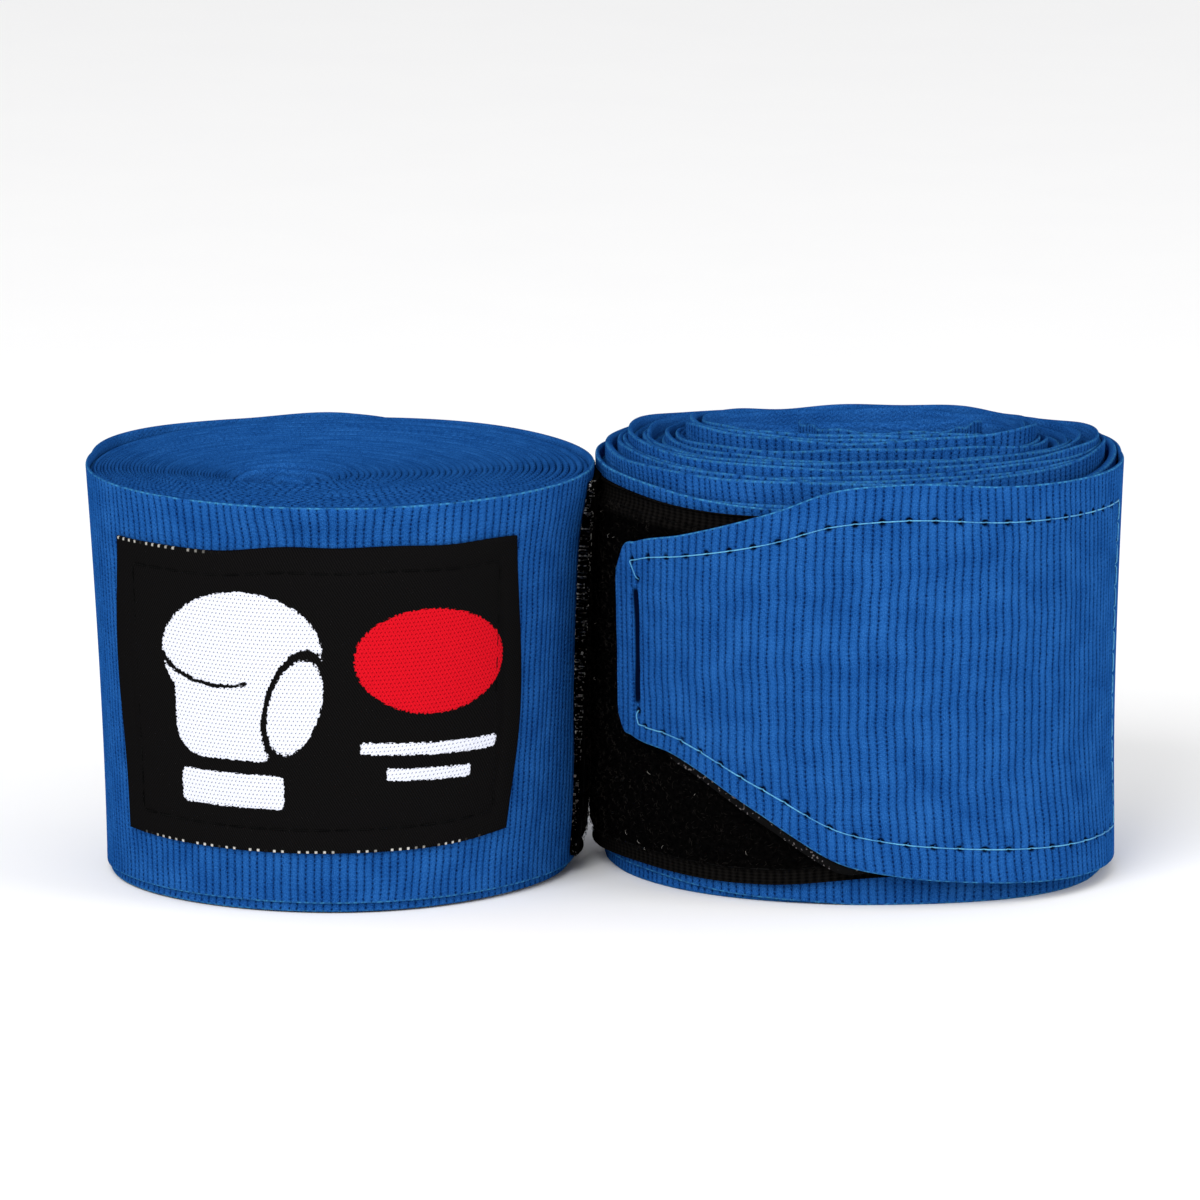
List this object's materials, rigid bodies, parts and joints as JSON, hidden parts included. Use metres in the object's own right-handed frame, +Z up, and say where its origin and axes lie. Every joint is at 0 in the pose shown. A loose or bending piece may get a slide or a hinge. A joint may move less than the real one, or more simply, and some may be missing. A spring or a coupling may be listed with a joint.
{
  "type": "boxing hand wrap pair",
  "caption": "Pair of rolled boxing hand wraps: ribbed elastic strips wound on a thumb loop, each with a woven label and a tapered hook-and-loop closing tab.",
  "frame": {"origin": "middle of the pair's footprint, on the surface that it stands on", "axes": "+X from the tightly wound wrap towards the loosely wound one, +Z up along both rolls' axes, -Y towards the side with the woven label and the closing tab in view"},
  "size_m": [0.1276, 0.0674, 0.0515],
  "materials": {
    "woven_cloth": "matt ribbed elastic weave, royal blue",
    "thumb_band": "matt narrow woven band, royal blue",
    "blue_thread": "light blue polyester sewing thread",
    "black_thread": "black polyester sewing thread",
    "loop_tape": "black brushed loop pile",
    "hook_tape": "black moulded hook tape",
    "label_weave": "black damask woven label with white and red wefts"
  },
  "bodies": {
    "left_wrap": {"left_strip": "woven_cloth", "left_thumb_loop": "thumb_band", "left_thumb_loop_stitching": "blue_thread", "left_loop_fastener": "loop_tape", "left_loop_fastener_stitching": "black_thread", "left_label": "label_weave", "left_label_stitching": "black_thread"},
    "left_tab": {"left_closure_tab": "woven_cloth", "left_hook_fastener": "hook_tape", "left_tab_stitching": "blue_thread"},
    "right_wrap": {"right_strip": "woven_cloth", "right_thumb_loop": "thumb_band", "right_thumb_loop_stitching": "blue_thread", "right_loop_fastener": "loop_tape", "right_loop_fastener_stitching": "black_thread", "right_label": "label_weave", "right_label_stitching": "black_thread"},
    "right_tab": {"right_closure_tab": "woven_cloth", "right_hook_fastener": "hook_tape", "right_tab_stitching": "blue_thread"}
  },
  "joints": [
    {"name": "left_tab_peel", "type": "hinge", "parent": "left_wrap", "child": "left_tab", "pos_m": [-0.06344, 0.00209, 0], "axis": [0, 0, 1], "range_deg": [0, 120]},
    {"name": "right_wrap_slide", "type": "slide", "parent": "left_wrap", "child": "right_wrap", "axis": [1, 0, 0], "range_m": [0, 0.06]},
    {"name": "right_tab_peel", "type": "hinge", "parent": "right_wrap", "child": "right_tab", "pos_m": [0.06333, 0.00272, 0], "axis": [0, 0, 1], "range_deg": [0, 120]}
  ]
}
